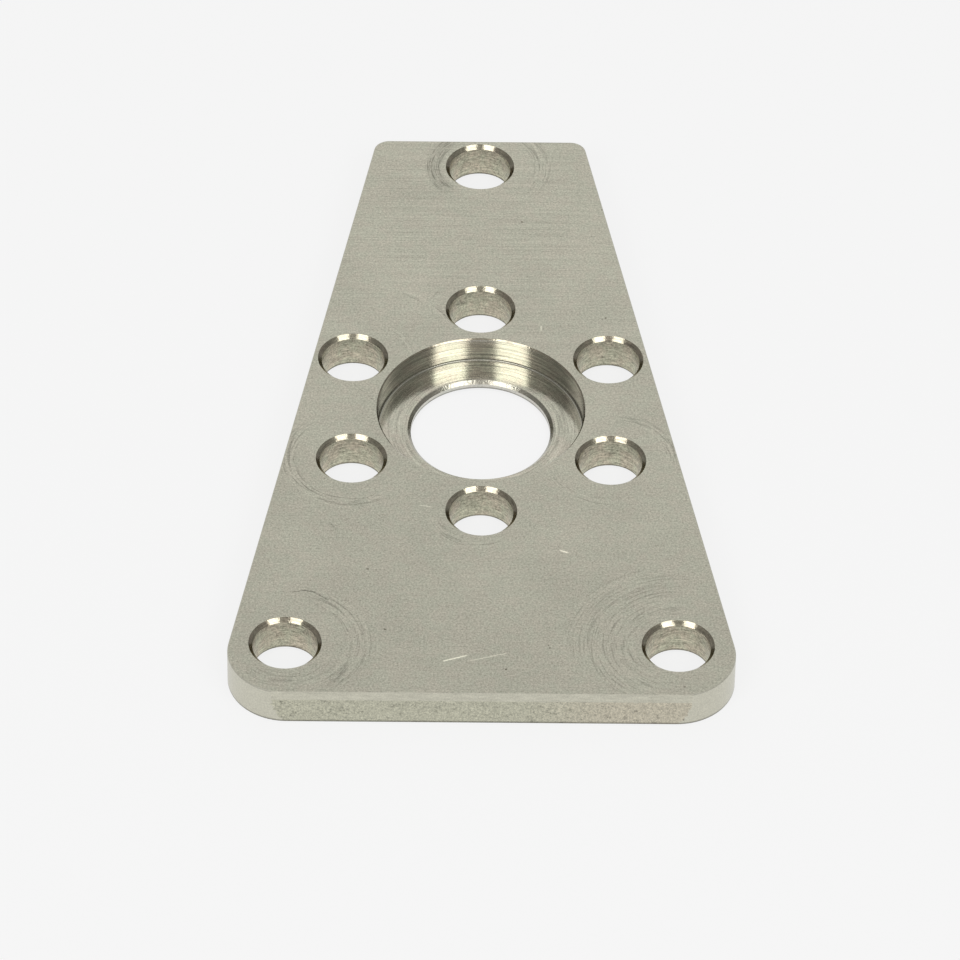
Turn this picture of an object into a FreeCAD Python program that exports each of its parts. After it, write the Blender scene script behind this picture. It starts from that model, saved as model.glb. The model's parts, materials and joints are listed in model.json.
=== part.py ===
"""Tapered mounting plate, machined from one piece of aluminium plate.

The plate lies on its back face. X runs across it, Y from the wide end to the narrow end, Z is up.
The origin is on the axis of the centre bore, midway through the thickness: the features are drawn
up from the back face, and the body is then set down by half the thickness. Lengths are millimetres.
"""
import FreeCAD, Part
import math
import os
import Sketcher

NODE = "mounting_plate"

# Driving sizes: name, value, meaning.
DRIVERS = [
    ("plate_thickness", 6.0, "thickness of the stock"),
    ("plate_length", 126.2, "wide edge to narrow edge"),
    ("bore_to_narrow_edge", 63.5, "bore axis to the narrow edge"),
    ("side_angle", 10.42, "lean of each side from the length axis, in degrees"),
    ("wide_corner_radius", 9.0, "outline radius at the wide end"),
    ("narrow_corner_radius", 2.5, "outline radius at the narrow end"),
    ("edge_break", 0.15, "bevel round the top and back faces"),
    ("seat_diameter", 32.0, "turned seat, open to the top face"),
    ("seat_edge_break", 0.2, "bevel at the mouth of the seat"),
    ("seat_corner_radius", 0.3, "tool radius between the seat's wall and its ledge"),
    ("ledge_width", 5.15, "wall of the seat to wall of the bore"),
    ("ledge_chamfer", 0.5, "bevel from the ledge into the bore"),
    ("lip_height", 0.75, "straight part of the bore"),
    ("back_chamfer", 0.35, "bevel of the bore and the holes at the back face"),
    ("hole_diameter", 9.8, "every fixing hole"),
    ("hole_chamfer", 0.6, "bevel of every fixing hole at the top face"),
    ("bolt_hole_count", 6, "fixing holes round the seat"),
    ("seat_land", 1.3, "metal between the mouth of the seat and a hole's bevel"),
    ("rim_land", 0.7, "least metal between a hole's bevel and the edge of the plate"),
    ("wide_hole_side_gap", 8.33, "centre of a wide-end hole to its side"),
    ("wide_hole_end_gap", 10.65, "centre of a wide-end hole to the wide edge"),
    ("sheared_band", 1.75, "smooth band along the top of the sheared wide edge"),
    ("sheared_lean", 0.2, "how far that band stands back from the foot of the edge"),
]

# Sizes that the sheet works out from the driving ones.
DERIVED = [
    ("wide_edge_distance", "plate_length - bore_to_narrow_edge"),
    ("seat_radius", "seat_diameter / 2"),
    ("bore_radius", "seat_radius - ledge_width"),
    ("lip_top", "back_chamfer + lip_height"),
    ("ledge_level", "lip_top + ledge_chamfer"),
    ("hole_bevel_diameter", "hole_diameter + 2 * hole_chamfer"),
    ("back_bevel_diameter", "hole_diameter + 2 * back_chamfer"),
    ("bolt_circle_radius", "seat_radius + seat_edge_break + seat_land + hole_bevel_diameter / 2"),
    ("bolt_step", "360 / bolt_hole_count"),
    ("side_hole_angle", "90 - bolt_step * round((90 - side_angle) / bolt_step)"),
    ("edge_gap", "hole_bevel_diameter / 2 + rim_land"),
    ("side_distance", "bolt_circle_radius * cos(side_hole_angle - side_angle) + edge_gap"),
    ("narrow_hole_distance", "bore_to_narrow_edge - edge_gap"),
    ("wide_hole_distance", "wide_edge_distance - wide_hole_end_gap"),
    ("wide_hole_reach", "side_distance - wide_hole_side_gap + wide_hole_distance * sin(side_angle)"),
    ("wide_hole_offset", "wide_hole_reach / cos(side_angle)"),
]


def fill_sheet(doc):
    """Put the sizes in the document's spreadsheet, one row and one alias each."""
    sheet = doc.addObject("Spreadsheet::Sheet", "Sizes")
    rows = [(name, str(value), meaning) for name, value, meaning in DRIVERS]
    rows += [(name, "=" + formula, "") for name, formula in DERIVED]
    for row, (name, content, meaning) in enumerate(rows, start=1):
        sheet.set("A%d" % row, name)
        sheet.set("B%d" % row, content)
        sheet.set("C%d" % row, meaning)
        sheet.setAlias("B%d" % row, name)
        doc.recompute()


def origin_feature(body, role):
    """Return one of the body's own origin planes or axes."""
    return next(item for item in body.Origin.OriginFeatures if item.Role == role)


def add_sketch(body, name, role, level=None):
    """Add a sketch on an origin plane, lifted by a formula where one is given."""
    sketch = body.newObject("Sketcher::SketchObject", name)
    sketch.AttachmentSupport = (origin_feature(body, role), "")
    sketch.MapMode = "FlatFace"
    if level:
        sketch.setExpression(".AttachmentOffset.Base.z", level)
    return sketch


def measure(sketch, formula):
    """Return what a formula gives now, so that geometry is drawn where its dimensions hold it."""
    return float(sketch.evalExpression(formula))


def bind(sketch, name, formula, kind, *references):
    """Add a dimension to a sketch and bind it to a formula."""
    value = measure(sketch, formula)
    if kind == "Angle":
        value = math.radians(value)
    index = sketch.addConstraint(Sketcher.Constraint(kind, *references, value))
    sketch.renameConstraint(index, name)
    sketch.setExpression("Constraints." + name, formula)


def hold(sketch, name, point, x, y):
    """Dimension a point from the origin; a formula with a leading minus measures the other way."""
    for kind, axis, formula in (("DistanceX", -2, x), ("DistanceY", -1, y)):
        if formula == "0":
            sketch.addConstraint(Sketcher.Constraint("PointOnObject", *point, axis))
        elif formula.startswith("-"):
            bind(sketch, name + kind[-1], formula[1:], kind, *point, -1, 1)
        else:
            bind(sketch, name + kind[-1], formula, kind, -1, 1, *point)


def draw_profile(sketch, corners):
    """Draw a closed outline of straight lines through named corners."""
    spots = [FreeCAD.Vector(measure(sketch, x), measure(sketch, y), 0) for _, x, y in corners]
    for index, start in enumerate(spots):
        sketch.addGeometry(Part.LineSegment(start, spots[(index + 1) % len(spots)]))
    for index, (name, x, y) in enumerate(corners):
        previous = (index - 1) % len(corners)
        sketch.addConstraint(Sketcher.Constraint("Coincident", previous, 2, index, 1))
        hold(sketch, name, (index, 1), x, y)


def draw_circle(sketch, name, x, y, radius):
    """Draw a circle whose centre and radius are given by formulas."""
    centre = FreeCAD.Vector(measure(sketch, x), measure(sketch, y), 0)
    circle = Part.Circle(centre, FreeCAD.Vector(0, 0, 1), measure(sketch, radius))
    index = sketch.addGeometry(circle)
    hold(sketch, name, (index, 3), x, y)
    bind(sketch, name + "Radius", radius, "Radius", index)


def rounded_corner(before, corner, after, radius):
    """Return the arc that rounds a corner of an outline drawn anticlockwise."""
    back = (before - corner).normalize()
    ahead = (after - corner).normalize()
    half_angle = back.getAngle(ahead) / 2
    start = corner + back * (radius / math.tan(half_angle))
    end = corner + ahead * (radius / math.tan(half_angle))
    centre = corner + (back + ahead).normalize() * (radius / math.sin(half_angle))
    middle = centre + (corner - centre).normalize() * radius
    return Part.Arc(start, middle, end)


def draw_outline(sketch):
    """Draw the tapered outline: four sides joined by tangent corner arcs."""
    half_wide = measure(sketch, "(Sizes.side_distance + Sizes.wide_edge_distance * sin(Sizes.side_angle))"
                                " / cos(Sizes.side_angle)")
    half_narrow = measure(sketch, "(Sizes.side_distance - Sizes.bore_to_narrow_edge * sin(Sizes.side_angle))"
                                  " / cos(Sizes.side_angle)")
    wide_y = -measure(sketch, "Sizes.wide_edge_distance")
    narrow_y = measure(sketch, "Sizes.bore_to_narrow_edge")
    corners = [
        FreeCAD.Vector(-half_wide, wide_y, 0),
        FreeCAD.Vector(half_wide, wide_y, 0),
        FreeCAD.Vector(half_narrow, narrow_y, 0),
        FreeCAD.Vector(-half_narrow, narrow_y, 0),
    ]
    wide_radius = measure(sketch, "Sizes.wide_corner_radius")
    narrow_radius = measure(sketch, "Sizes.narrow_corner_radius")
    radii = [wide_radius, wide_radius, narrow_radius, narrow_radius]
    arcs = [
        rounded_corner(corners[index - 1], corners[index], corners[(index + 1) % 4], radii[index])
        for index in range(4)
    ]
    for index in range(4):
        sketch.addGeometry(Part.LineSegment(arcs[index].EndPoint, arcs[(index + 1) % 4].StartPoint))
    for arc in arcs:
        sketch.addGeometry(arc)
    wide_edge, right_side, narrow_edge = 0, 1, 2
    wide_arc, narrow_arc = 5, 6
    for index in range(4):
        sketch.addConstraint(Sketcher.Constraint("Tangent", 4 + index, 2, index, 1))
        sketch.addConstraint(Sketcher.Constraint("Tangent", index, 2, 4 + (index + 1) % 4, 1))
    for edge in (wide_edge, narrow_edge):
        sketch.addConstraint(Sketcher.Constraint("Symmetric", edge, 1, edge, 2, -2))
    sketch.addConstraint(Sketcher.Constraint("Equal", 4, wide_arc))
    sketch.addConstraint(Sketcher.Constraint("Equal", 7, narrow_arc))
    bind(sketch, "WideRadius", "Sizes.wide_corner_radius", "Radius", wide_arc)
    bind(sketch, "NarrowRadius", "Sizes.narrow_corner_radius", "Radius", narrow_arc)
    bind(sketch, "WideEdge", "Sizes.wide_edge_distance", "DistanceY", wide_edge, 1, -1, 1)
    bind(sketch, "NarrowEdge", "Sizes.bore_to_narrow_edge", "DistanceY", -1, 1, narrow_edge, 1)
    bind(sketch, "SideAngle", "90 + Sizes.side_angle", "Angle", right_side)
    bind(sketch, "SideDistance", "Sizes.side_distance", "Distance", -1, 1, right_side)


def flat_faces(shape):
    """Return the names of a shape's horizontal faces."""
    names = []
    for index, face in enumerate(shape.Faces, start=1):
        if abs(face.normalAt(0, 0).z) > 0.99:
            names.append("Face%d" % index)
    return names


def add_blank(doc, body):
    """Cut the blank to its outline and break its top and back edges."""
    sketch = add_sketch(body, "Outline", "XY_Plane")
    draw_outline(sketch)
    blank = body.newObject("PartDesign::Pad", "Blank")
    blank.Profile = sketch
    blank.setExpression("Length", "Sizes.plate_thickness")
    doc.recompute()
    bevel = body.newObject("PartDesign::Chamfer", "EdgeBreak")
    bevel.Base = (blank, flat_faces(blank.Shape))
    bevel.setExpression("Size", "Sizes.edge_break")
    doc.recompute()


def add_seat(doc, body):
    """Turn the seat, its ledge and the bore in one section, then round the seat's inner corner."""
    sketch = add_sketch(body, "SeatSection", "YZ_Plane")
    draw_profile(sketch, [
        ("Foot", "0", "0"),
        ("BackBevel", "Sizes.bore_radius + Sizes.back_chamfer", "0"),
        ("LipFoot", "Sizes.bore_radius", "Sizes.back_chamfer"),
        ("LipTop", "Sizes.bore_radius", "Sizes.lip_top"),
        ("LedgeInner", "Sizes.bore_radius + Sizes.ledge_chamfer", "Sizes.ledge_level"),
        ("LedgeOuter", "Sizes.seat_radius", "Sizes.ledge_level"),
        ("Mouth", "Sizes.seat_radius", "Sizes.plate_thickness - Sizes.seat_edge_break"),
        ("MouthBevel", "Sizes.seat_radius + Sizes.seat_edge_break", "Sizes.plate_thickness"),
        ("Top", "0", "Sizes.plate_thickness"),
    ])
    seat = body.newObject("PartDesign::Groove", "Seat")
    seat.Profile = sketch
    seat.ReferenceAxis = (sketch, ["V_Axis"])
    seat.Angle = 360
    doc.recompute()
    radius = measure(sketch, "Sizes.seat_radius")
    level = measure(sketch, "Sizes.ledge_level")
    inner_corner = [
        "Edge%d" % index for index, edge in enumerate(seat.Shape.Edges, start=1)
        if isinstance(edge.Curve, Part.Circle)
        and math.isclose(edge.Curve.Radius, radius)
        and math.isclose(edge.Curve.Center.z, level)
    ]
    rounding = body.newObject("PartDesign::Fillet", "SeatCorner")
    rounding.Base = (seat, inner_corner)
    rounding.setExpression("Radius", "Sizes.seat_corner_radius")
    doc.recompute()


def drill(doc, body, name, centres, level, diameter, back):
    """Drill bevelled through holes at named centres, from the top face or from the back."""
    sketch = add_sketch(body, name + "Centres", "XY_Plane", level)
    for label, x, y in centres:
        draw_circle(sketch, label, x, y, "Sizes.hole_diameter / 2")
    doc.recompute()
    hole = body.newObject("PartDesign::Hole", name)
    hole.Profile = sketch
    hole.Reversed = back
    hole.ThreadType = "None"
    hole.DepthType = "ThroughAll"
    hole.setExpression("Diameter", "Sizes.hole_diameter")
    hole.HoleCutType = "Countersink"
    hole.HoleCutCountersinkAngle = 90
    hole.setExpression("HoleCutDiameter", diameter)
    doc.recompute()
    return hole


def drill_both_faces(doc, body, name, centres):
    """Drill holes bevelled at the top face and again at the back face."""
    top = drill(doc, body, name, centres, "Sizes.plate_thickness", "Sizes.hole_bevel_diameter", False)
    back = drill(doc, body, name + "Back", centres, None, "Sizes.back_bevel_diameter", True)
    return [top, back]


def add_bolt_circle(doc, body):
    """Drill the first hole round the seat and repeat it about the bore axis."""
    holes = drill_both_faces(doc, body, "BoltHole", [("First", "0", "Sizes.bolt_circle_radius")])
    pattern = body.newObject("PartDesign::PolarPattern", "BoltCircle")
    pattern.Originals = holes
    pattern.Axis = (origin_feature(body, "Z_Axis"), [""])
    pattern.Angle = 360
    pattern.setExpression("Occurrences", "Sizes.bolt_hole_count")
    body.Tip = pattern
    doc.recompute()


def add_end_holes(doc, body):
    """Drill the hole at the narrow end and the pair at the wide end."""
    drill_both_faces(doc, body, "EndHoles", [
        ("Narrow", "0", "Sizes.narrow_hole_distance"),
        ("WideLeft", "-Sizes.wide_hole_offset", "-Sizes.wide_hole_distance"),
        ("WideRight", "Sizes.wide_hole_offset", "-Sizes.wide_hole_distance"),
    ])


def add_sheared_edge(doc, body):
    """Shape the wide edge as shears leave it: an upright band over a break that leans out."""
    sketch = add_sketch(body, "ShearedSection", "YZ_Plane")
    draw_profile(sketch, [
        ("Foot", "-Sizes.wide_edge_distance", "0"),
        ("BandFoot", "-(Sizes.wide_edge_distance - Sizes.sheared_lean)",
         "Sizes.plate_thickness - Sizes.sheared_band"),
        ("BandTop", "-(Sizes.wide_edge_distance - Sizes.sheared_lean)", "Sizes.plate_thickness"),
        ("OuterTop", "-(Sizes.wide_edge_distance + Sizes.sheared_lean)", "Sizes.plate_thickness"),
        ("OuterFoot", "-(Sizes.wide_edge_distance + Sizes.sheared_lean)", "0"),
    ])
    waste = body.newObject("PartDesign::Pocket", "ShearedEdge")
    waste.Profile = sketch
    waste.Type = "ThroughAll"
    waste.SideType = "Symmetric"
    doc.recompute()


def check(doc, body):
    """Stop if any step failed or left the solid as it was."""
    for item in doc.Objects:
        if "Invalid" in item.State or "Error" in item.State:
            raise RuntimeError("%s failed" % item.Name)
    volume = 0
    for feature in body.Group:
        if not feature.isDerivedFrom("PartDesign::Feature"):
            continue
        if feature.Shape.isNull() or not feature.Shape.isValid():
            raise RuntimeError("%s has no valid shape" % feature.Name)
        if math.isclose(feature.Shape.Volume, volume):
            raise RuntimeError("%s changes nothing" % feature.Name)
        volume = feature.Shape.Volume
    if len(body.Shape.Solids) != 1:
        raise RuntimeError("the plate is not one solid")


def main():
    doc = FreeCAD.newDocument("MountingPlate")
    fill_sheet(doc)
    body = doc.addObject("PartDesign::Body", "MountingPlate")
    body.Label = NODE
    body.setExpression("Placement.Base.z", "-Sizes.plate_thickness / 2")
    add_blank(doc, body)
    add_seat(doc, body)
    add_bolt_circle(doc, body)
    add_end_holes(doc, body)
    add_sheared_edge(doc, body)
    check(doc, body)
    os.makedirs("parts", exist_ok=True)
    body.Shape.exportStep("parts/%s.step" % NODE)
    box = body.Shape.BoundBox
    print("%s: %.2f x %.2f x %.2f mm" % (NODE, box.XLength, box.YLength, box.ZLength))


main()
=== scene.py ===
import json
from math import cos, pi, radians, sin

import bmesh
import bpy
from mathutils import Matrix, Vector, noise


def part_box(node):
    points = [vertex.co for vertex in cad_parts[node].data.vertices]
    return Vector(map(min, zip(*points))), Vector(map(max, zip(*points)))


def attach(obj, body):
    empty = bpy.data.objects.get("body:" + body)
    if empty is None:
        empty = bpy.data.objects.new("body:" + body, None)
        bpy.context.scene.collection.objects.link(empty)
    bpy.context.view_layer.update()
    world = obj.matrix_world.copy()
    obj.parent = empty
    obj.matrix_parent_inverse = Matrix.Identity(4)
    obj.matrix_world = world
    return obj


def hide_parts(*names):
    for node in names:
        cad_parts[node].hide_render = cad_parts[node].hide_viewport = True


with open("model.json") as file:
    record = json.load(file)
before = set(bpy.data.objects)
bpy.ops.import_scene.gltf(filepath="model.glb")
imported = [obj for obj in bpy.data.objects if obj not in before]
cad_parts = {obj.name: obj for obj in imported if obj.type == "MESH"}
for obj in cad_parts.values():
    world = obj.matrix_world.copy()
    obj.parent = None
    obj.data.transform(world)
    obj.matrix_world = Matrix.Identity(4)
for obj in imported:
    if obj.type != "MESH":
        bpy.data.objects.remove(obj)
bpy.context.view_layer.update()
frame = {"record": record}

low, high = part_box("mounting_plate")
mounts = {mount["name"]: mount for mount in frame["record"]["mounts"]}
mm = 0.001
print("frame loaded")


# Arithmetic on shader sockets: an expression on these adds its Math nodes.
class Value:
    def __init__(self, graph, socket):
        self.graph = graph
        self.socket = socket

    def __add__(self, other):
        return self.graph.math("ADD", self, other)

    def __radd__(self, other):
        return self.graph.math("ADD", other, self)

    def __sub__(self, other):
        return self.graph.math("SUBTRACT", self, other)

    def __rsub__(self, other):
        return self.graph.math("SUBTRACT", other, self)

    def __mul__(self, other):
        return self.graph.math("MULTIPLY", self, other)

    def __rmul__(self, other):
        return self.graph.math("MULTIPLY", other, self)

    def __abs__(self):
        return self.graph.math("ABSOLUTE", self)


class Graph:
    def __init__(self, tree):
        self.tree = tree
        tree.nodes.clear()

    def node(self, kind, settings=None, inputs=None, output=0):
        made = self.tree.nodes.new(kind)
        for name, value in (settings or {}).items():
            setattr(made, name, value)
        for name, value in (inputs or {}).items():
            if isinstance(value, Value):
                self.tree.links.new(value.socket, made.inputs[name])
            else:
                made.inputs[name].default_value = value
        return Value(self, made.outputs[output]) if made.outputs else made

    def math(self, operation, first, second=0.0):
        return self.node("ShaderNodeMath", {"operation": operation}, {0: first, 1: second})

    def smooth(self, value, start, end):
        inputs = {"Value": value, "From Min": start, "From Max": end}
        return self.node("ShaderNodeMapRange", {"interpolation_type": "SMOOTHSTEP"}, inputs)

    def noise(self, place, scale, detail, roughness):
        inputs = {"Vector": place, "Scale": scale, "Detail": detail, "Roughness": roughness}
        return self.node("ShaderNodeTexNoise", {}, inputs)

    def stretch(self, place, scale):
        return self.node("ShaderNodeMapping", {}, {"Vector": place, "Scale": scale})

    def split(self, place):
        outputs = self.node("ShaderNodeSeparateXYZ", {}, {0: place}).socket.node.outputs
        return [Value(self, output) for output in outputs]

    def join(self, x, y, z):
        return self.node("ShaderNodeCombineXYZ", {}, {0: x, 1: y, 2: z})

    def mixColour(self, factor, first, second):
        inputs = {0: factor, 6: (*first, 1.0), 7: (*second, 1.0)}
        return self.node("ShaderNodeMix", {"data_type": "RGBA"}, inputs, 2)

    def tone(self, colour, level):
        return self.node("ShaderNodeVectorMath", {"operation": "SCALE"}, {0: colour, "Scale": level})


# Every finish is laid out in millimetres, on object coordinates.
def newMaterial(name):
    material = bpy.data.materials.new(name)
    material.use_nodes = True
    graph = Graph(material.node_tree)
    place = graph.node("ShaderNodeTexCoord", output="Object")
    return material, graph, graph.stretch(place, (1 / mm,) * 3)


def closeMaterial(graph, colour, roughness, height, depth):
    normal = graph.node("ShaderNodeBump", {}, {"Strength": 1.0, "Distance": depth, "Height": height})
    inputs = {"Base Color": colour, "Roughness": roughness, "Metallic": 1.0, "Normal": normal}
    surface = graph.node("ShaderNodeBsdfPrincipled", {}, inputs)
    graph.node("ShaderNodeOutputMaterial", {}, {"Surface": surface})


# A noise varies about 0.5: this is how far it lies from there, times a strength.
def swing(marks, strength):
    return (marks - 0.5) * strength


# A colour that drifts between its warmer and its greener tint over the face.
tints = {
    "scale": 0.45,
    "edges": (0.35, 0.65),
    "warm": (1.0, -0.4, -0.3),
    "green": (-1.0, 0.4, -0.3),
}


def tinted(graph, place, colour, drift):
    warm = [part * (1.0 + drift * share) for part, share in zip(colour, tints["warm"])]
    green = [part * (1.0 + drift * share) for part, share in zip(colour, tints["green"])]
    cloud = graph.noise(place, tints["scale"], 2.0, 0.6)
    return graph.mixColour(graph.smooth(cloud, *tints["edges"]), warm, green)


# Distance from a centre and angle round it, with angle 0 towards the middle direction.
def ringPlace(graph, place, centre, middle):
    parts = graph.split(place)
    right, ahead = parts[0] - centre[0], parts[1] - centre[1]
    along = right * cos(middle) + ahead * sin(middle)
    across = ahead * cos(middle) - right * sin(middle)
    reach = graph.math("SQRT", along * along + across * across)
    turn = graph.math("ARCTAN2", across, along)
    return reach, turn


holeCentres = {}


def placeHoles():
    circle, wide, narrow = mounts["bolt_circle"], mounts["wide_end_holes"], mounts["narrow_end_hole"]
    names = ["rear", "leftRear", "leftFront", "front", "rightFront", "rightRear"]
    for index, name in enumerate(names):
        angle = pi / 2 + index * 2 * pi / circle["dims"]["count"]
        holeCentres[name] = Vector((cos(angle), sin(angle))) * circle["dims"]["pcd_mm"] / 2 * mm
    reach = wide["dims"]["spacing_x_mm"] / 2 * mm
    holeCentres["wideLeft"] = Vector((-reach, wide["pos_m"][1]))
    holeCentres["wideRight"] = Vector((reach, wide["pos_m"][1]))
    holeCentres["narrow"] = Vector(narrow["pos_m"][:2])


placeHoles()

# Where screw heads and washers turned against the top face: hole, inner and outer radius in mm,
# middle angle, spread to each side of it, strength of the rings, overall darkening.
rubs = [
    ("narrow", 6.4, 8.6, 175, 70, 1.0, 0.42),
    ("narrow", 8.6, 11.4, 5, 55, 0.7, 0.05),
    ("leftRear", 8.5, 9.4, 30, 40, 0.8, 0.0),
    ("leftRear", 16.8, 17.7, 46, 22, 0.8, 0.0),
    ("rear", 7.4, 8.2, 170, 30, 0.6, 0.0),
    ("leftFront", 8.8, 11.0, -140, 105, 0.9, 0.04),
    ("rightFront", 8.8, 10.5, 38, 50, 0.9, 0.04),
    ("rightFront", 8.8, 10.2, -125, 50, 0.7, 0.0),
    ("front", 6.8, 8.2, -120, 65, 0.7, 0.0),
    ("wideLeft", 9.2, 12.8, 5, 75, 0.80, 0.04),
    ("wideLeft", 6.2, 9.1, -85, 60, 0.6, 0.10),
    ("wideRight", 6.6, 13.5, 170, 105, 0.64, 0.04),
    ("wideRight", 13.5, 17.2, 140, 65, 0.5, 0.0),
]

# How all of those rings look: how close they lie, how sharp their lines are, how much lighter the
# metal between them is, and how they fade out at their ends and, in mm, at their rims.
rubbing = {
    "ringsPerMm": 3.4,
    "breaksRound": 1.7,
    "lineEdges": (0.46, 0.66),
    "clearShare": 0.22,
    "fadeFrom": 0.55,
    "rimOutside": 0.5,
    "rimInside": 0.3,
    "seedStep": 3.7,
}


def rubMarks(graph, place, rub, seed):
    hole, inner, outer, middle, spread, strength, shade = rub
    outside, inside = rubbing["rimOutside"], rubbing["rimInside"]
    reach, turn = ringPlace(graph, place, holeCentres[hole] / mm, radians(middle))
    window = 1.0 - graph.smooth(abs(turn), radians(spread * rubbing["fadeFrom"]), radians(spread))
    within = graph.smooth(reach, inner - outside, inner + inside)
    within = within * (1.0 - graph.smooth(reach, outer - inside, outer + outside))
    rings = graph.join(reach * rubbing["ringsPerMm"], turn * rubbing["breaksRound"], seed)
    lines = graph.smooth(graph.noise(rings, 1.0, 3.0, 0.70), *rubbing["lineEdges"])
    return ((lines - rubbing["clearShare"]) * strength + shade) * window * within


# Scratches on the top face: both ends in mm, width in mm, how much lighter or darker they are.
scratches = [
    ((-5.8, -55.7), (-2.1, -54.4), 0.20, 0.85),
    ((-1.8, -55.6), (3.8, -53.9), 0.16, 0.45),
    ((11.9, -31.6), (13.3, -32.2), 0.22, 0.90),
    ((11.5, -30.1), (12.0, -31.5), 0.12, -0.20),
    ((-9.4, -21.9), (-7.5, -22.3), 0.16, 0.45),
    ((-28.8, -41.2), (-26.6, -40.8), 0.20, -0.24),
    ((-26.9, -40.7), (-25.1, -41.2), 0.20, -0.42),
    ((-25.3, -41.1), (-23.0, -42.9), 0.20, -0.34),
    ((-31.5, -60.0), (-28.2, -60.0), 0.50, -0.16),
    ((9.5, 19.2), (9.5, 18.0), 0.22, 0.50),
    ((-23.0, -26.0), (-22.0, -27.6), 0.20, -0.25),
    ((-19.9, 5.6), (-16.1, 1.0), 0.12, -0.12),
]

# How a scratch fades: past its start and its end in mm, and the share of its width that is full.
scratching = {
    "startFade": (-0.2, 0.3),
    "endFade": (-0.5, 0.2),
    "core": 0.3,
}


def scratchMark(graph, place, start, end, width):
    parts = graph.split(place)
    way = Vector(end) - Vector(start)
    length = way.length
    way.normalize()
    right, ahead = parts[0] - start[0], parts[1] - start[1]
    along = right * way.x + ahead * way.y
    across = abs(ahead * way.x - right * way.y)
    fadeFrom, fadeTo = scratching["endFade"]
    ends = graph.smooth(along, *scratching["startFade"])
    ends = ends * (1.0 - graph.smooth(along, length + fadeFrom, length + fadeTo))
    return ends * (1.0 - graph.smooth(across, width * scratching["core"], width))


# Both milled faces: colour, roughness, and the noises that make their marks.
milled = {
    "colour": (0.452, 0.440, 0.362),
    "drift": 0.012,
    "roughness": 0.34,
    "roughnessSwing": 0.15,
    "bump": 0.004 * mm,
    "streakStretch": (0.06, 3.2, 1.0),
    "grainScale": 3.3,
    "cloudScale": 0.09,
    "speckScale": 1.7,
    "speckEdges": (0.68, 0.76),
}

# How strongly each mark shows on the top, which is more streaked towards the narrow end. The top is
# also painted lighter towards the narrow end by its rise per mm: painted light, not a mark.
topFace = {
    "level": 0.990,
    "paintedLightRise": 0.0009,
    "streaks": 0.44,
    "streakRise": (-10.0, 45.0),
    "grain": 1.85,
    "cloud": 0.20,
    "specks": 0.22,
    "rubs": 0.44,
    "rubRoughness": 0.10,
    "streakHeight": 0.6,
    "grainHeight": 0.6,
    "rubHeight": 0.7,
}
backFace = {"streaks": 0.35, "grain": 0.6, "cloud": 0.2, "specks": 0.16}


def faceMarks(graph, place):
    streaks = graph.noise(graph.stretch(place, milled["streakStretch"]), 1.0, 3.0, 0.65)
    grain = graph.noise(place, milled["grainScale"], 4.0, 0.8)
    cloud = graph.noise(place, milled["cloudScale"], 2.0, 0.5)
    specks = graph.smooth(graph.noise(place, milled["speckScale"], 2.0, 0.6), *milled["speckEdges"])
    return streaks, grain, cloud, specks


def topMaterial():
    material, graph, place = newMaterial("topMilled")
    streaks, grain, cloud, specks = faceMarks(graph, place)
    ahead = graph.split(place)[1]
    milledMore = 0.5 + graph.smooth(ahead, *topFace["streakRise"])
    # Painted light: the top grows lighter towards the narrow end.
    tone = topFace["level"] + ahead * topFace["paintedLightRise"]
    tone = tone + swing(streaks, topFace["streaks"]) * milledMore
    tone = tone + swing(grain, topFace["grain"])
    tone = tone + swing(cloud, topFace["cloud"]) - specks * topFace["specks"]
    rubbed = 0.0
    for index, rub in enumerate(rubs):
        rubbed = rubMarks(graph, place, rub, rubbing["seedStep"] * index) + rubbed
    tone = tone * (1.0 - topFace["rubs"] * rubbed)
    for start, end, width, lift in scratches:
        tone = tone + scratchMark(graph, place, start, end, width) * lift
    tint = tinted(graph, place, milled["colour"], milled["drift"])
    roughness = milled["roughness"] + swing(grain, milled["roughnessSwing"])
    roughness = roughness + rubbed * topFace["rubRoughness"]
    height = streaks * topFace["streakHeight"] + grain * topFace["grainHeight"]
    height = height - rubbed * topFace["rubHeight"]
    closeMaterial(graph, graph.tone(tint, tone), roughness, height, milled["bump"])
    return material


def backMaterial():
    material, graph, place = newMaterial("backMilled")
    streaks, grain, cloud, specks = faceMarks(graph, place)
    tone = 1.0 + swing(streaks, backFace["streaks"]) + swing(grain, backFace["grain"])
    tone = tone + swing(cloud, backFace["cloud"]) - specks * backFace["specks"]
    roughness = milled["roughness"] + swing(grain, milled["roughnessSwing"])
    closeMaterial(graph, graph.tone(milled["colour"], tone), roughness, streaks + grain, milled["bump"])
    return material
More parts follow.
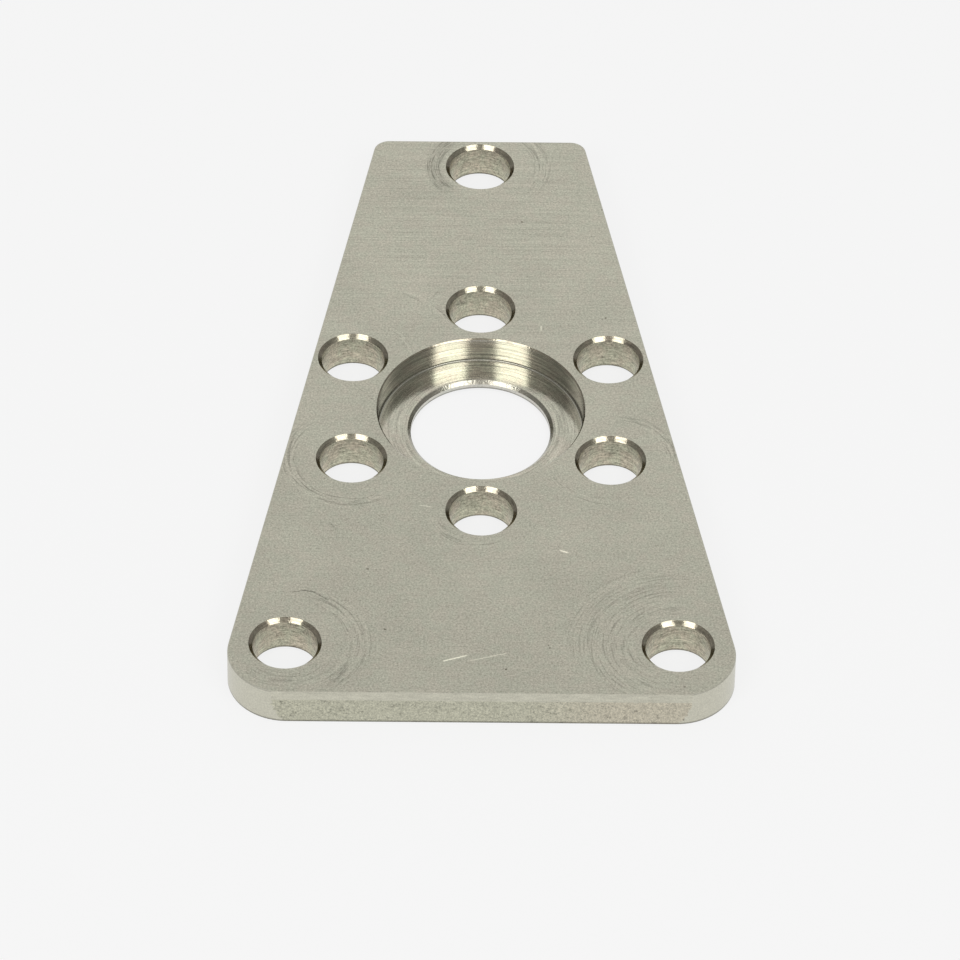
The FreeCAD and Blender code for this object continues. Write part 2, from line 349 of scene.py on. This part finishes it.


# Turned and drilled faces: rings round the cut, closer together with a higher last number in the
# stretch, grain, and chatter marks along the axis. A wall is painted lighter downwards by its lift per mm,
# painted light for the pale floor it reflects, and below the foot line's heights in mm it is painted
# darker by its foot share, painted shade along its foot.
turned = {
    "holeBevel": {
        "colour": (0.325, 0.296, 0.228), "roughness": 0.12, "stretch": (0.5, 0.5, 7.0),
        "rings": 1.6, "chatter": 2.5, "grain": 1.6, "drift": 0.02,
    },
    "ledgeBevel": {
        "colour": (0.370, 0.356, 0.296), "roughness": 0.20, "stretch": (0.5, 0.5, 7.0),
        "rings": 0.8, "chatter": 7.0, "grain": 1.2,
    },
    "holeWall": {
        "colour": (0.455, 0.430, 0.335), "roughness": 0.38, "stretch": (0.5, 0.5, 5.0),
        "rings": 1.9, "chatter": 0.2, "grain": 2.7, "drift": 0.03, "lift": 0.045, "foot": 0.55,
    },
    "boreWall": {
        "colour": (0.640, 0.628, 0.570), "roughness": 0.30, "stretch": (0.3, 0.3, 5.0),
        "rings": 0.5, "chatter": 0.2, "foot": 0.5,
    },
    # The seat wall's foot line lies just above the corner radius: painted shade along the crease.
    "seatWall": {
        "colour": (0.560, 0.551, 0.503), "roughness": 0.155, "stretch": (0.10, 0.10, 4.6),
        "rings": 2.2, "chatter": 0.1, "grain": 0.8, "foot": 0.30, "footShadeLine": (-1.10, -1.02),
    },
    # The corner radius is painted darker than the wall and the ledge: painted shade in the crease.
    "seatCorner": {
        "colour": (0.340, 0.328, 0.275), "roughness": 0.25, "stretch": (0.15, 0.15, 4.5),
        "rings": 0.4, "chatter": 0.1,
    },
}
# Unless said: no painted lift and no painted foot shade; the foot line lies near the bottom.
turnedUnlessSaid = {"grain": 0.9, "drift": 0.012, "lift": 0.0, "foot": 0.0, "footShadeLine": (-2.55, -2.30)}
turning = {
    "grainScale": 2.8,
    "tickStretch": (2.6, 2.6, 0.4),
    "roughnessSwing": 0.1,
    "ringHeight": 0.6,
    "grainHeight": 0.4,
    "bump": 0.006 * mm,
}


def ringedMaterial(name):
    look = {**turnedUnlessSaid, **turned[name]}
    material, graph, place = newMaterial(name)
    rings = graph.noise(graph.stretch(place, look["stretch"]), 1.0, 3.0, 0.65)
    grain = graph.noise(place, turning["grainScale"], 4.0, 0.8)
    ticks = graph.noise(graph.stretch(place, turning["tickStretch"]), 1.0, 2.0, 0.6)
    height = graph.split(place)[2]
    # Painted light and shade: lighter downwards by the lift, darker below the foot line by the foot share.
    tone = 1.0 + swing(rings, look["rings"]) + swing(grain, look["grain"]) - height * look["lift"]
    tone = tone * (1.0 - look["foot"] * (1.0 - graph.smooth(height, *look["footShadeLine"])))
    tint = tinted(graph, place, look["colour"], look["drift"])
    roughness = look["roughness"] + swing(grain, turning["roughnessSwing"])
    bumps = rings * turning["ringHeight"] + grain * turning["grainHeight"] + ticks * look["chatter"]
    closeMaterial(graph, graph.tone(tint, tone), roughness, bumps, turning["bump"])
    return material


# Sides, broken edges and dents: faint marks, stretched as given, a grain, and painted shade at the foot.
plain = {
    "sideMilled": {
        "colour": (0.590, 0.576, 0.484), "roughness": 0.32, "stretch": (0.5, 0.5, 3.0), "marks": 0.16,
    },
    "edgeBreak": {
        "colour": (0.500, 0.488, 0.410), "roughness": 0.30, "stretch": (1.0, 1.0, 1.0), "marks": 0.3,
    },
    # The edge breaks along the foot and the back bevels are painted dark: painted shade at the floor.
    "footEdgePaintedShade": {
        "colour": (0.230, 0.220, 0.180), "roughness": 0.40, "stretch": (1.0, 1.0, 1.0), "marks": 0.4,
    },
    "shearedBand": {
        "colour": (0.570, 0.556, 0.462), "roughness": 0.34, "stretch": (0.35, 0.35, 2.0), "marks": 0.6,
    },
    "pit": {
        "colour": (0.300, 0.285, 0.230), "roughness": 0.5, "stretch": (1.0, 1.0, 1.0), "marks": 0.4,
    },
}
plainGrain = {"scale": 4.5, "strength": 0.8, "roughnessSwing": 0.1, "bump": 0.004 * mm}

# Painted shade: a soft dark line along the bottom edge of the upright faces: its level, and heights in mm.
footShadeLine = {"level": 0.52, "heights": (-2.80, -2.50)}


def paintedFootShade(graph, place):
    above = graph.smooth(graph.split(place)[2], *footShadeLine["heights"])
    return footShadeLine["level"] + (1.0 - footShadeLine["level"]) * above


def plainMaterial(name):
    look = plain[name]
    material, graph, place = newMaterial(name)
    marks = graph.noise(graph.stretch(place, look["stretch"]), 1.0, 3.0, 0.6)
    grain = graph.noise(place, plainGrain["scale"], 3.0, 0.7)
    tone = 1.0 + swing(marks, look["marks"]) + swing(grain, plainGrain["strength"])
    # Painted shade along the foot.
    tone = tone * paintedFootShade(graph, place)
    roughness = look["roughness"] + swing(grain, plainGrain["roughnessSwing"])
    closeMaterial(graph, graph.tone(look["colour"], tone), roughness, marks + grain, plainGrain["bump"])
    return material


# The ledge: turned rings round the bore's axis, and grain.
seatLedge = {
    "colour": (0.458, 0.439, 0.364),
    "drift": 0.02,
    "roughness": 0.15,
    "ringsPerMm": 3.0,
    "breaksRound": 1.4,
    "seed": 5.0,
    "rings": 1.6,
    "grain": 1.4,
    "bump": 0.003 * mm,
}


def ledgeMaterial():
    material, graph, place = newMaterial("seatLedge")
    reach, turn = ringPlace(graph, place, (0.0, 0.0), -pi / 2)
    around = graph.join(reach * seatLedge["ringsPerMm"], turn * seatLedge["breaksRound"], seatLedge["seed"])
    rings = graph.noise(around, 1.0, 3.0, 0.65)
    grain = graph.noise(place, plainGrain["scale"], 3.0, 0.7)
    tone = 1.0 + swing(rings, seatLedge["rings"]) + swing(grain, seatLedge["grain"])
    tint = tinted(graph, place, seatLedge["colour"], seatLedge["drift"])
    roughness = seatLedge["roughness"] + swing(grain, plainGrain["roughnessSwing"])
    closeMaterial(graph, graph.tone(tint, tone), roughness, rings + grain, seatLedge["bump"])
    return material


# The torn face: grain and pits, warmer towards +X, and painted shade along the foot.
tornFace = {
    "colour": (0.552, 0.544, 0.440),
    "warmColour": (0.590, 0.552, 0.450),
    "warmFrom": (4.0, 22.0),
    "warmBreak": 20.0,
    "roughness": 0.55,
    "grainScale": 3.4,
    "grain": 2.1,
    "pitStretch": (1.0, 1.0, 1.6),
    "pitEdges": (0.56, 0.64),
    "pits": 0.26,
    "bump": 0.03 * mm,
}


def roughMaterial():
    material, graph, place = newMaterial("shearedRough")
    grain = graph.noise(place, tornFace["grainScale"], 4.0, 0.8)
    pits = graph.noise(graph.stretch(place, tornFace["pitStretch"]), 1.0, 4.0, 0.7)
    pits = graph.smooth(pits, *tornFace["pitEdges"])
    tone = 1.0 + swing(grain, tornFace["grain"]) - pits * tornFace["pits"]
    # Painted shade along the foot.
    tone = tone * paintedFootShade(graph, place)
    side = graph.split(place)[0] + swing(grain, tornFace["warmBreak"])
    side = graph.smooth(side, *tornFace["warmFrom"])
    tint = graph.mixColour(side, tornFace["colour"], tornFace["warmColour"])
    closeMaterial(graph, graph.tone(tint, tone), tornFace["roughness"], grain, tornFace["bump"])
    return material


finishes = [
    topMaterial(),
    backMaterial(),
    plainMaterial("sideMilled"),
    plainMaterial("edgeBreak"),
    plainMaterial("footEdgePaintedShade"),
    ringedMaterial("holeBevel"),
    ringedMaterial("ledgeBevel"),
    ringedMaterial("holeWall"),
    ringedMaterial("boreWall"),
    ringedMaterial("seatWall"),
    ringedMaterial("seatCorner"),
    ledgeMaterial(),
    plainMaterial("shearedBand"),
    roughMaterial(),
    plainMaterial("pit"),
]
slotOf = {material.name: index for index, material in enumerate(finishes)}
print("finishes made")


def vertsOf(parts):
    return [part for part in parts if isinstance(part, bmesh.types.BMVert)]


# The blank: straight edges and round corners, extruded, its rims broken.
blank = {
    "sideAngle": radians(10.42),
    "wideCorner": 9.0 * mm,
    "narrowCorner": 2.5 * mm,
    "cornerSteps": 24,
    "edgeBreak": 0.15 * mm,
    "band": 1.75 * mm,
    "lean": 0.3 * mm,
}
wideY, narrowY = low.y, high.y
sideAngle = blank["sideAngle"]
sideDistance = (high.x - blank["wideCorner"]) * cos(sideAngle)
sideDistance += (wideY + blank["wideCorner"]) * sin(sideAngle)
sideDistance += blank["wideCorner"]


def cornerCentre(endY, radius):
    inward = radius if endY < 0 else -radius
    y = endY + inward
    x = (sideDistance - radius - y * sin(sideAngle)) / cos(sideAngle)
    return Vector((x, y, 0.0))


def addCorner(bm, centre, radius, startAngle, turn, steps):
    first = bm.verts.new(centre + Vector((cos(startAngle), sin(startAngle), 0.0)) * radius)
    made = bmesh.ops.spin(bm, geom=[first], cent=centre, axis=(0, 0, 1), angle=turn, steps=steps)
    return first, vertsOf(made["geom_last"])[0]


def blankFinish(normal):
    if normal.z > 0.5:
        return "topMilled"
    if normal.z < -0.5:
        return "backMilled"
    return "shearedRough" if normal.y < -0.9999 else "sideMilled"


def makeBlank():
    bm = bmesh.new()
    wide = cornerCentre(wideY, blank["wideCorner"])
    narrow = cornerCentre(narrowY, blank["narrowCorner"])
    steps = blank["cornerSteps"]
    wideTurn = pi / 2 + sideAngle
    narrowTurn = pi / 2 - sideAngle
    mirror = Vector((-1, 1, 1))
    firsts, lasts = zip(
        addCorner(bm, wide, blank["wideCorner"], -pi / 2, wideTurn, steps),
        addCorner(bm, narrow, blank["narrowCorner"], sideAngle, narrowTurn, steps),
        addCorner(bm, narrow * mirror, blank["narrowCorner"], pi / 2, narrowTurn, steps),
        addCorner(bm, wide * mirror, blank["wideCorner"], pi - sideAngle, wideTurn, steps),
    )
    for last, first in zip(lasts, firsts[1:] + firsts[:1]):
        bm.edges.new((last, first))
    bmesh.ops.contextual_create(bm, geom=bm.edges[:])
    bmesh.ops.translate(bm, verts=bm.verts[:], vec=(0, 0, low.z))
    made = bmesh.ops.extrude_face_region(bm, geom=bm.faces[:])
    bmesh.ops.translate(bm, verts=vertsOf(made["geom"]), vec=(0, 0, high.z - low.z))
    bmesh.ops.recalc_face_normals(bm, faces=bm.faces[:])
    for face in bm.faces:
        face.material_index = slotOf[blankFinish(face.normal)]
    rims = [edge for edge in bm.edges if edge.verts[0].co.z == edge.verts[1].co.z]
    bmesh.ops.bevel(
        bm, geom=rims, offset=blank["edgeBreak"], offset_type="OFFSET", affect="EDGES",
        segments=2, profile=0.5, material=slotOf["edgeBreak"],
    )
    # The edge breaks along the foot take the dark finish: painted shade.
    for face in bm.faces:
        if face.material_index == slotOf["edgeBreak"] and face.calc_center_median().z < 0:
            face.material_index = slotOf["footEdgePaintedShade"]
    return bm


def toObject(bm, name):
    mesh = bpy.data.meshes.new(name)
    bm.to_mesh(mesh)
    bm.free()
    for material in finishes:
        mesh.materials.append(material)
    piece = bpy.data.objects.new(name, mesh)
    bpy.context.scene.collection.objects.link(piece)
    return piece


def cut(piece, bm):
    tool = toObject(bm, "tool")
    modifier = piece.modifiers.new("cut", "BOOLEAN")
    modifier.operation = "DIFFERENCE"
    modifier.solver = "EXACT"
    modifier.object = tool
    bpy.context.view_layer.update()
    cutMesh = bpy.data.meshes.new_from_object(piece.evaluated_get(bpy.context.evaluated_depsgraph_get()))
    piece.modifiers.clear()
    old = piece.data
    piece.data = cutMesh
    bpy.data.meshes.remove(old)
    bpy.data.objects.remove(tool)


# A cutter is spun from a list of radius, height and finish, where each finish runs to the next point.
# A facet's middle lies a little inside its circle, so the search for its finish allows for that.
spinning = {
    "same": 1e-7,
    "slack": 1e-6,
    "facetShare": 0.98,
}


def spunTool(sections, centre, steps):
    same, slack = spinning["same"], spinning["slack"]
    bm = bmesh.new()
    profile = [bm.verts.new((centre[0] + radius, centre[1], z)) for radius, z, _ in sections]
    edges = [bm.edges.new(pair) for pair in zip(profile, profile[1:])]
    bmesh.ops.spin(
        bm, geom=profile + edges, cent=(centre[0], centre[1], 0), axis=(0, 0, 1),
        angle=2 * pi, steps=steps, use_merge=True,
    )
    bmesh.ops.remove_doubles(bm, verts=bm.verts[:], dist=same)
    bmesh.ops.recalc_face_normals(bm, faces=bm.faces[:])
    for face in bm.faces:
        middle = face.calc_center_median()
        reach = (middle.xy - Vector(centre[:2])).length
        for (r1, z1, named), (r2, z2, _) in zip(sections, sections[1:]):
            inHeight = min(z1, z2) - same <= middle.z <= max(z1, z2) + same
            nearest, furthest = min(r1, r2) * spinning["facetShare"] - slack, max(r1, r2) + slack
            if inHeight and nearest <= reach <= furthest:
                face.material_index = slotOf[named]
                break
    return bm


holes = {
    "radius": mounts["bolt_circle"]["dims"]["hole_r_mm"] * mm,
    "topBevel": 0.6 * mm,
    "backBevel": 0.35 * mm,
    "steps": 96,
    "over": 1.0 * mm,
}


def holeSections():
    radius, over = holes["radius"], holes["over"]
    top, back = holes["topBevel"], holes["backBevel"]
    return [
        (0.0, high.z + over, "holeBevel"),
        (radius + top + over, high.z + over, "holeBevel"),
        (radius, high.z - top, "holeWall"),
        # The back bevel takes the dark finish: painted shade at the floor.
        (radius, low.z + back, "footEdgePaintedShade"),
        (radius + back + over, low.z - over, "footEdgePaintedShade"),
        (0.0, low.z - over, "footEdgePaintedShade"),
    ]


# The stepped seat: mouth, wall, corner radius, ledge and bore. The hold rings keep the wall and the
# ledge straight in the shading beside the corner radius.
seat = {
    "radius": mounts["centre_seat"]["dims"]["r_mm"] * mm,
    "mouthBevel": 0.2 * mm,
    "cornerRadius": 0.3 * mm,
    "cornerSteps": 6,
    "holdRing": 0.03 * mm,
    "ledgeZ": low.z + 1.6 * mm,
    "boreRadius": mounts["centre_bore"]["dims"]["r_mm"] * mm,
    "ledgeBevel": 0.5 * mm,
    "backBevel": 0.35 * mm,
    "steps": 192,
    "over": 1.0 * mm,
}


def seatSections():
    radius, over, ledge = seat["radius"], seat["over"], seat["ledgeZ"]
    corner, bore = seat["cornerRadius"], seat["boreRadius"]
    sections = [
        (0.0, high.z + over, "holeBevel"),
        (radius + seat["mouthBevel"] + over, high.z + over, "holeBevel"),
        (radius, high.z - seat["mouthBevel"], "seatWall"),
        (radius, ledge + corner + seat["holdRing"], "seatWall"),
    ]
    for step in range(seat["cornerSteps"] + 1):
        angle = pi / 2 * step / seat["cornerSteps"]
        named = "seatCorner" if step < seat["cornerSteps"] else "seatLedge"
        reach = radius - corner + corner * cos(angle)
        sections.append((reach, ledge + corner - corner * sin(angle), named))
    return sections + [
        (radius - corner - seat["holdRing"], ledge, "seatLedge"),
        (bore + seat["ledgeBevel"], ledge, "ledgeBevel"),
        (bore, ledge - seat["ledgeBevel"], "boreWall"),
        # The bore's back bevel takes the dark finish: painted shade at the floor.
        (bore, low.z + seat["backBevel"], "footEdgePaintedShade"),
        (bore + seat["backBevel"] + over, low.z - over, "footEdgePaintedShade"),
        (0.0, low.z - over, "footEdgePaintedShade"),
    ]


# The wide end as the shear left it: a clean band on top, a torn face below that leans out to the foot.
# The torn relief grows in below the band and dies away again at the foot.
sheared = {
    "cell": 0.14 * mm,
    "over": 0.5 * mm,
    "depth": 3.0 * mm,
    "relief": 0.11 * mm,
    "reliefPerMm": (1.5, 1.8),
    "reliefSeed": 7.7,
    "reliefFractal": (0.7, 2.0, 4),
    "growIn": 0.3 * mm,
    "dieAway": 1.6 * mm,
    "waviness": 0.16 * mm,
    "wavesPerMm": 0.5,
    "waveSeed": 3.1,
}
bandFoot = high.z - blank["band"]


def bandEdge(x):
    along = Vector((x / mm * sheared["wavesPerMm"], 0, sheared["waveSeed"]))
    return bandFoot + sheared["waviness"] * noise.noise(along)


def tornRelief(x, z):
    acrossStep, upStep = sheared["reliefPerMm"]
    place = Vector((x / mm * acrossStep, z / mm * upStep, sheared["reliefSeed"]))
    return noise.fractal(place, *sheared["reliefFractal"]) * sheared["relief"]


def makeShearTool():
    bm = bmesh.new()
    halfWide = high.x
    tall = high.z - low.z + 2 * sheared["over"]
    columns = round(2 * halfWide / sheared["cell"])
    rows = round(tall / sheared["cell"])
    turn = Matrix.Rotation(pi / 2, 4, "X")
    bmesh.ops.create_grid(bm, x_segments=columns, y_segments=rows, size=0.5, matrix=turn)
    bmesh.ops.scale(bm, verts=bm.verts[:], vec=(2 * halfWide, 1.0, tall))
    for vert in bm.verts:
        x, z = vert.co.x, vert.co.z
        below = max(0.0, bandEdge(x) - z)
        lean = blank["lean"] * below / (bandFoot - low.z)
        torn = min(1.0, below / sheared["growIn"], max(0.0, z - low.z) / sheared["dieAway"])
        vert.co.y = wideY + blank["lean"] - lean + torn * tornRelief(x, z)
    for face in bm.faces:
        middle = face.calc_center_median()
        face.material_index = slotOf["shearedBand" if middle.z > bandEdge(middle.x) else "shearedRough"]
    made = bmesh.ops.extrude_face_region(bm, geom=bm.faces[:])
    for vert in vertsOf(made["geom"]):
        vert.co.y = wideY - sheared["depth"]
    bmesh.ops.recalc_face_normals(bm, faces=bm.faces[:])
    return bm


# Small dents in the top face: place and radius of the ball that struck, in mm. The ball's centre
# stays above the face by the given share of its radius.
dents = [
    (6.7, 43.9, 0.30), (19.7, 21.2, 0.28), (-17.2, -36.0, 0.30), (-14.5, -49.0, 0.32), (3.6, -57.3, 0.30),
    (19.5, 47.0, 0.24), (10.2, -52.7, 0.26), (10.0, -52.1, 0.20), (30.2, -60.7, 0.28),
]
dentLift = 0.7


def makeDents():
    bm = bmesh.new()
    for x, y, radius in dents:
        place = Matrix.Translation((x * mm, y * mm, high.z + radius * dentLift * mm))
        bmesh.ops.create_icosphere(bm, subdivisions=2, radius=radius * mm, matrix=place)
    for face in bm.faces:
        face.material_index = slotOf["pit"]
    return bm


plate = toObject(makeBlank(), "mountingPlate")
cut(plate, makeShearTool())
print("sheared end cut")
cut(plate, spunTool(seatSections(), (0, 0), seat["steps"]))
print("seat cut")
for centre in holeCentres.values():
    cut(plate, spunTool(holeSections(), centre, holes["steps"]))
print("holes cut")
cut(plate, makeDents())
print("dents struck")

# Flat faces keep their own normal, so that only the round ones are shaded smooth.
shading = {
    "sharpAngle": radians(20),
    "flatArea": 20.0 * mm * mm,
    "flatFinishes": ("topMilled", "backMilled"),
}
flatSlots = [slotOf[name] for name in shading["flatFinishes"]]
plate.data.set_sharp_from_angle(angle=shading["sharpAngle"])
for polygon in plate.data.polygons:
    small = polygon.area < shading["flatArea"]
    polygon.use_smooth = small and polygon.material_index not in flatSlots
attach(plate, "root")
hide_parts("mounting_plate")
print("plate has", len(plate.data.polygons), "faces")


# The stage: a pale floor that keeps the plate's shadow, two soft boxes, and a world that is lighter
# behind and above, round each box, and in the gap between the boxes.
studio = {
    "backdropLevel": 0.913,
    "floorHalf": 4.0,
    "floorPaper": (0.9, 0.9, 0.9, 1.0),
    "floorGlow": (0.920, 0.920, 0.920, 1.0),
    "shadowShare": 0.12,
    "sideLevel": 0.38,
    "backLevel": 0.96,
    "backEdges": (0.62, 0.90),
    "aboveEdges": (0.85, 0.97),
    "haloLevel": 0.12,
    "haloEdges": (0.76, 0.95),
    "gapLevel": 0.26,
    "gapEdges": (0.10, 0.30),
    "boxAzimuth": radians(35.5),
    "boxElevation": radians(43.0),
    "boxDistance": 1.3,
    "boxWidth": 0.62,
    "boxHeight": 0.56,
    "boxPower": 4.0,
}


# The direction out to a lamp or viewer, with azimuth 0 on the wide end's side.
def wayOut(azimuth, elevation):
    return Vector((sin(azimuth) * cos(elevation), -cos(azimuth) * cos(elevation), sin(elevation)))


def makeFloor():
    bm = bmesh.new()
    bmesh.ops.create_grid(bm, x_segments=1, y_segments=1, size=studio["floorHalf"])
    bmesh.ops.translate(bm, verts=bm.verts[:], vec=(0, 0, low.z))
    mesh = bpy.data.meshes.new("floor")
    bm.to_mesh(mesh)
    bm.free()
    floor = bpy.data.objects.new("floor", mesh)
    bpy.context.scene.collection.objects.link(floor)
    material = bpy.data.materials.new("floorPaper")
    material.use_nodes = True
    graph = Graph(material.node_tree)
    rays = graph.node("ShaderNodeLightPath").socket.node.outputs
    shown = Value(graph, rays["Is Camera Ray"]) + Value(graph, rays["Is Glossy Ray"])
    shown = shown + Value(graph, rays["Is Transmission Ray"])
    shown = graph.math("MINIMUM", shown, 1.0) * (1.0 - studio["shadowShare"])
    paper = graph.node("ShaderNodeBsdfDiffuse", {}, {"Color": studio["floorPaper"]})
    glow = graph.node("ShaderNodeEmission", {}, {"Color": studio["floorGlow"], "Strength": 1.0})
    surface = graph.node("ShaderNodeMixShader", {}, {0: shown, 1: paper, 2: glow})
    graph.node("ShaderNodeOutputMaterial", {}, {"Surface": surface})
    mesh.materials.append(material)


def makeWorld():
    world = bpy.data.worlds.new("studio")
    world.use_nodes = True
    bpy.context.scene.world = world
    graph = Graph(world.node_tree)
    x, y, z = graph.split(graph.node("ShaderNodeTexCoord", output="Generated"))
    behind = y * cos(studio["boxElevation"]) + z * sin(studio["boxElevation"])
    back = graph.smooth(behind, *studio["backEdges"])
    above = graph.smooth(z, *studio["aboveEdges"])
    bright = graph.math("MAXIMUM", back, above)
    level = studio["sideLevel"] + (studio["backLevel"] - studio["sideLevel"]) * bright
    box = wayOut(studio["boxAzimuth"], studio["boxElevation"])
    halo = graph.smooth(abs(x) * box.x + y * box.y + z * box.z, *studio["haloEdges"])
    gap = 1.0 - graph.smooth(abs(x), *studio["gapEdges"])
    level = level + halo * (studio["haloLevel"] + studio["gapLevel"] * gap)
    rays = graph.node("ShaderNodeLightPath").socket.node.outputs
    camera = Value(graph, rays["Is Camera Ray"])
    level = level * (1.0 - camera) + camera * studio["backdropLevel"]
    glow = graph.node("ShaderNodeBackground", {}, {"Color": (1.0, 1.0, 1.0, 1.0), "Strength": level})
    graph.node("ShaderNodeOutputWorld", {}, {"Surface": glow})


def addBox(name, side):
    light = bpy.data.lights.new(name, "AREA")
    light.shape = "RECTANGLE"
    light.size = studio["boxWidth"]
    light.size_y = studio["boxHeight"]
    light.energy = studio["boxPower"]
    lamp = bpy.data.objects.new(name, light)
    way = wayOut(studio["boxAzimuth"] * side, studio["boxElevation"])
    turn = way.to_track_quat("Z", "Y").to_matrix().to_4x4()
    lamp.matrix_world = Matrix.Translation(way * studio["boxDistance"]) @ turn
    bpy.context.scene.collection.objects.link(lamp)


view = {
    "aim": Vector((-0.175 * mm, -16.195 * mm, high.z)),
    "distance": 1.09645,
    "azimuth": radians(-0.883),
    "elevation": radians(43.29),
    "roll": radians(1.094),
    "lens": 268.13,
    "sensor": 36.0,
    "clipStart": 0.01,
}


def makeCamera():
    camera = bpy.data.cameras.new("camera")
    camera.lens = view["lens"]
    camera.sensor_width = view["sensor"]
    camera.clip_start = view["clipStart"]
    viewer = bpy.data.objects.new("camera", camera)
    back = wayOut(view["azimuth"], view["elevation"])
    right = Vector((cos(view["azimuth"]), sin(view["azimuth"]), 0.0))
    turn = Matrix((right, back.cross(right), back)).transposed().to_4x4()
    place = Matrix.Translation(view["aim"] + back * view["distance"])
    viewer.matrix_world = place @ turn @ Matrix.Rotation(view["roll"], 4, "Z")
    bpy.context.scene.collection.objects.link(viewer)
    bpy.context.scene.camera = viewer


makeCamera()
makeFloor()
makeWorld()
addBox("softboxLeft", -1)
addBox("softboxRight", 1)
bpy.context.scene.view_settings.view_transform = "Standard"
print("studio set")
